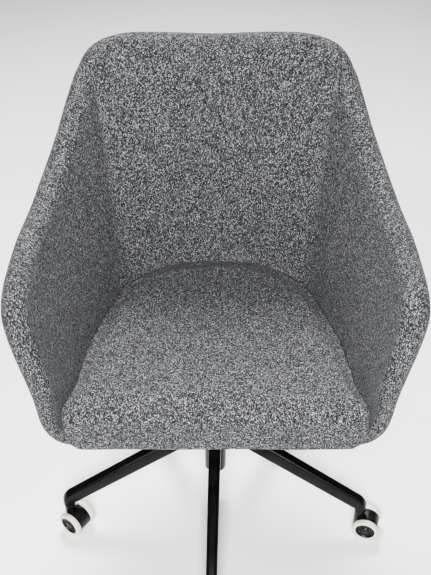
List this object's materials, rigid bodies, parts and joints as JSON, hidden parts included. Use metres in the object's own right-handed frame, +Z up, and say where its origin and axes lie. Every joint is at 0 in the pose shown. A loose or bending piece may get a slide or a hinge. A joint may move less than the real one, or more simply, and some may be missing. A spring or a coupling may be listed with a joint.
{
  "type": "swivel office chair",
  "caption": "Upholstered tub swivel chair with a loose seat cushion, gas height column, bent-leg star base and twin-wheel casters.",
  "frame": {"origin": "on the floor under the swivel axis", "axes": "+Z up, the chair faces -Y, +X to the viewer's right as they look at its front"},
  "size_m": [0.6473, 0.6109, 0.8694],
  "materials": {
    "upholstery_fabric": "plain-woven melange upholstery, dark slate with pale and near-black flecks, matte",
    "moulded_core": "moulded core, dark, unseen",
    "black_paint": "satin black powder coat",
    "black_plastic": "satin black nylon",
    "caster_tyre": "soft cream polyurethane, matte",
    "chrome": "polished",
    "zinc_steel": "zinc plated",
    "bush_plastic": "natural acetal"
  },
  "bodies": {
    "base": {"base_hub": "black_paint", "base_leg_1": "black_paint", "base_leg_2": "black_paint", "base_leg_3": "black_paint", "base_leg_4": "black_paint", "base_leg_5": "black_paint", "column_tube": "black_paint", "column_bush": "bush_plastic", "column_clip": "zinc_steel"},
    "column_rod": {"piston_rod": "zinc_steel", "thrust_bearing": "zinc_steel"},
    "seat": {"gas_cylinder": "chrome", "seat_mount": "black_paint", "mount_bolt_1": "zinc_steel", "mount_bolt_2": "zinc_steel", "mount_bolt_3": "zinc_steel", "mount_bolt_4": "zinc_steel", "lever_pivot": "zinc_steel", "tub_core": "moulded_core", "tub_pad": "upholstery_fabric", "tub_cover": "upholstery_fabric", "seat_cushion": "upholstery_fabric"},
    "lever": {"height_lever": "black_paint", "lever_grip": "black_plastic"},
    "valve_pin": {"release_pin": "zinc_steel"},
    "caster_1": {"caster_1_stem": "zinc_steel", "caster_1_housing": "black_plastic", "caster_1_axle": "zinc_steel"},
    "caster_1_left": {"caster_1_wheel_left": "black_plastic", "caster_1_tyre_left": "caster_tyre"},
    "caster_1_right": {"caster_1_wheel_right": "black_plastic", "caster_1_tyre_right": "caster_tyre"},
    "caster_2": {"caster_2_stem": "zinc_steel", "caster_2_housing": "black_plastic", "caster_2_axle": "zinc_steel"},
    "caster_2_left": {"caster_2_wheel_left": "black_plastic", "caster_2_tyre_left": "caster_tyre"},
    "caster_2_right": {"caster_2_wheel_right": "black_plastic", "caster_2_tyre_right": "caster_tyre"},
    "caster_3": {"caster_3_stem": "zinc_steel", "caster_3_housing": "black_plastic", "caster_3_axle": "zinc_steel"},
    "caster_3_left": {"caster_3_wheel_left": "black_plastic", "caster_3_tyre_left": "caster_tyre"},
    "caster_3_right": {"caster_3_wheel_right": "black_plastic", "caster_3_tyre_right": "caster_tyre"},
    "caster_4": {"caster_4_stem": "zinc_steel", "caster_4_housing": "black_plastic", "caster_4_axle": "zinc_steel"},
    "caster_4_left": {"caster_4_wheel_left": "black_plastic", "caster_4_tyre_left": "caster_tyre"},
    "caster_4_right": {"caster_4_wheel_right": "black_plastic", "caster_4_tyre_right": "caster_tyre"},
    "caster_5": {"caster_5_stem": "zinc_steel", "caster_5_housing": "black_plastic", "caster_5_axle": "zinc_steel"},
    "caster_5_left": {"caster_5_wheel_left": "black_plastic", "caster_5_tyre_left": "caster_tyre"},
    "caster_5_right": {"caster_5_wheel_right": "black_plastic", "caster_5_tyre_right": "caster_tyre"}
  },
  "joints": [
    {"name": "seat_swivel", "type": "hinge", "parent": "base", "child": "column_rod", "pos_m": [0, 0, 0.1], "axis": [0, 0, 1], "continuous": true},
    {"name": "seat_height", "type": "slide", "parent": "column_rod", "child": "seat", "axis": [0, 0, 1], "range_m": [0, 0.08]},
    {"name": "lever_lift", "type": "hinge", "parent": "seat", "child": "lever", "pos_m": [-0.034, 0, 0.371], "axis": [0, 1, 0], "range_deg": [0, 6], "stiffness_Nm_per_rad": 2, "springref_deg": -5.73},
    {"name": "valve_press", "type": "slide", "parent": "seat", "child": "valve_pin", "axis": [0, 0, -1], "range_m": [0, 0.0038]},
    {"name": "caster_1_swivel", "type": "hinge", "parent": "base", "child": "caster_1", "pos_m": [-0.00777, -0.2969, 0.06], "axis": [0, 0, 1], "continuous": true},
    {"name": "caster_1_roll_left", "type": "hinge", "parent": "caster_1", "child": "caster_1_left", "pos_m": [0.0082, -0.30271, 0.025], "axis": [0.342, 0.9397, 0], "continuous": true},
    {"name": "caster_1_roll_right", "type": "hinge", "parent": "caster_1", "child": "caster_1_right", "pos_m": [0.0082, -0.30271, 0.025], "axis": [0.342, 0.9397, 0], "continuous": true},
    {"name": "caster_2_swivel", "type": "hinge", "parent": "base", "child": "caster_2", "pos_m": [0.27997, -0.09914, 0.06], "axis": [0, 0, 1], "continuous": true},
    {"name": "caster_2_roll_left", "type": "hinge", "parent": "caster_2", "child": "caster_2_left", "pos_m": [0.29622, -0.10411, 0.025], "axis": [0.2924, 0.9563, 0], "continuous": true},
    {"name": "caster_2_roll_right", "type": "hinge", "parent": "caster_2", "child": "caster_2_right", "pos_m": [0.29622, -0.10411, 0.025], "axis": [0.2924, 0.9563, 0], "continuous": true},
    {"name": "caster_3_swivel", "type": "hinge", "parent": "base", "child": "caster_3", "pos_m": [0.1808, 0.23563, 0.06], "axis": [0, 0, 1], "continuous": true},
    {"name": "caster_3_roll_left", "type": "hinge", "parent": "caster_3", "child": "caster_3_left", "pos_m": [0.19722, 0.23123, 0.025], "axis": [0.2588, 0.9659, 0], "continuous": true},
    {"name": "caster_3_roll_right", "type": "hinge", "parent": "caster_3", "child": "caster_3_right", "pos_m": [0.19722, 0.23123, 0.025], "axis": [0.2588, 0.9659, 0], "continuous": true},
    {"name": "caster_4_swivel", "type": "hinge", "parent": "base", "child": "caster_4", "pos_m": [-0.16822, 0.24477, 0.06], "axis": [0, 0, 1], "continuous": true},
    {"name": "caster_4_roll_left", "type": "hinge", "parent": "caster_4", "child": "caster_4_left", "pos_m": [-0.1552, 0.23384, 0.025], "axis": [0.6428, 0.766, 0], "continuous": true},
    {"name": "caster_4_roll_right", "type": "hinge", "parent": "caster_4", "child": "caster_4_right", "pos_m": [-0.1552, 0.23384, 0.025], "axis": [0.6428, 0.766, 0], "continuous": true},
    {"name": "caster_5_swivel", "type": "hinge", "parent": "base", "child": "caster_5", "pos_m": [-0.28477, -0.08435, 0.06], "axis": [0, 0, 1], "continuous": true},
    {"name": "caster_5_roll_left", "type": "hinge", "parent": "caster_5", "child": "caster_5_left", "pos_m": [-0.27102, -0.09434, 0.025], "axis": [0.5878, 0.809, 0], "continuous": true},
    {"name": "caster_5_roll_right", "type": "hinge", "parent": "caster_5", "child": "caster_5_right", "pos_m": [-0.27102, -0.09434, 0.025], "axis": [0.5878, 0.809, 0], "continuous": true}
  ],
  "couplings": [
    {"joint": "valve_press", "follows": "lever_lift", "m_per_rad": 0.036}
  ]
}
